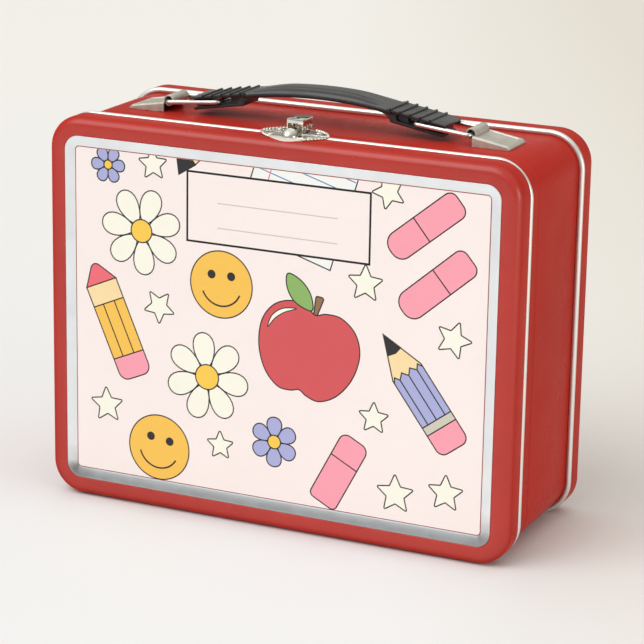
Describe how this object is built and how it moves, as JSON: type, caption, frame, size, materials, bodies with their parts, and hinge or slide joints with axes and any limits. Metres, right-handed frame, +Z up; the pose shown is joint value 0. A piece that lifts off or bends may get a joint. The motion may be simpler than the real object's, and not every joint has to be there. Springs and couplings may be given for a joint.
{
  "type": "metal lunch box",
  "caption": "Rectangular metal lunch box with a bottom-hinged front, rolled rim beads, a printed front panel, an arched top handle on wire loops and a small snap latch.",
  "frame": {"origin": "bottom centre of the closed box, at the level of the two rim beads that it stands on", "axes": "+X to the right seen from the printed front, +Y from the front to the back, +Z up"},
  "size_m": [0.216, 0.0864, 0.1842],
  "materials": {
    "red_paint": "satin baked enamel",
    "bare_tin": "bright rolled tinplate",
    "printed_sheet": "satin printed sheet",
    "nickel_plate": "bright nickel plating",
    "steel_wire": "bright drawn wire",
    "black_plastic": "soft satin moulding"
  },
  "bodies": {
    "case": {"side_band": "red_paint", "back_shell": "red_paint", "front_rim_bead": "bare_tin", "rear_rim_bead": "bare_tin", "hinge_leaf_body_left": "nickel_plate", "hinge_leaf_body_right": "nickel_plate", "hinge_pins": "steel_wire", "handle_bracket_left": "nickel_plate", "handle_bracket_right": "nickel_plate", "latch_body_plate": "nickel_plate", "latch_pin": "steel_wire", "latch_body_rivets": "steel_wire"},
    "lid": {"front_shell": "red_paint", "front_bezel": "bare_tin", "print_panel": "printed_sheet", "hinge_leaf_lid_left": "nickel_plate", "hinge_leaf_lid_right": "nickel_plate", "latch_lid_plate": "nickel_plate", "latch_keeper": "nickel_plate", "latch_lid_rivets": "steel_wire"},
    "lever": {"latch_lever": "nickel_plate"},
    "grip": {"handle_grip": "black_plastic"},
    "loop_left": {"handle_loop_left": "steel_wire"},
    "loop_right": {"handle_loop_right": "steel_wire"}
  },
  "joints": [
    {"name": "lid_hinge", "type": "hinge", "parent": "case", "child": "lid", "pos_m": [0, -0.03028, 0.00125], "axis": [1, 0, 0], "range_deg": [0, 120]},
    {"name": "latch_flip", "type": "hinge", "parent": "case", "child": "lever", "pos_m": [0.0028, -0.023, 0.172], "axis": [-1, 0, 0], "range_deg": [0, 90]},
    {"name": "handle_lift", "type": "slide", "parent": "case", "child": "grip", "axis": [0, 0, 1], "range_m": [0, 0.012]},
    {"name": "loop_left_swing", "type": "hinge", "parent": "case", "child": "loop_left", "pos_m": [-0.0688, 0, 0.172], "axis": [0, -1, 0], "range_deg": [0, 28.5]},
    {"name": "loop_right_swing", "type": "hinge", "parent": "case", "child": "loop_right", "pos_m": [0.0712, 0, 0.172], "axis": [0, 1, 0], "range_deg": [0, 28.5]}
  ],
  "couplings": [
    {"joint": "loop_left_swing", "follows": "handle_lift", "rad_per_m": 41.07},
    {"joint": "loop_right_swing", "follows": "handle_lift", "rad_per_m": 41.07}
  ]
}
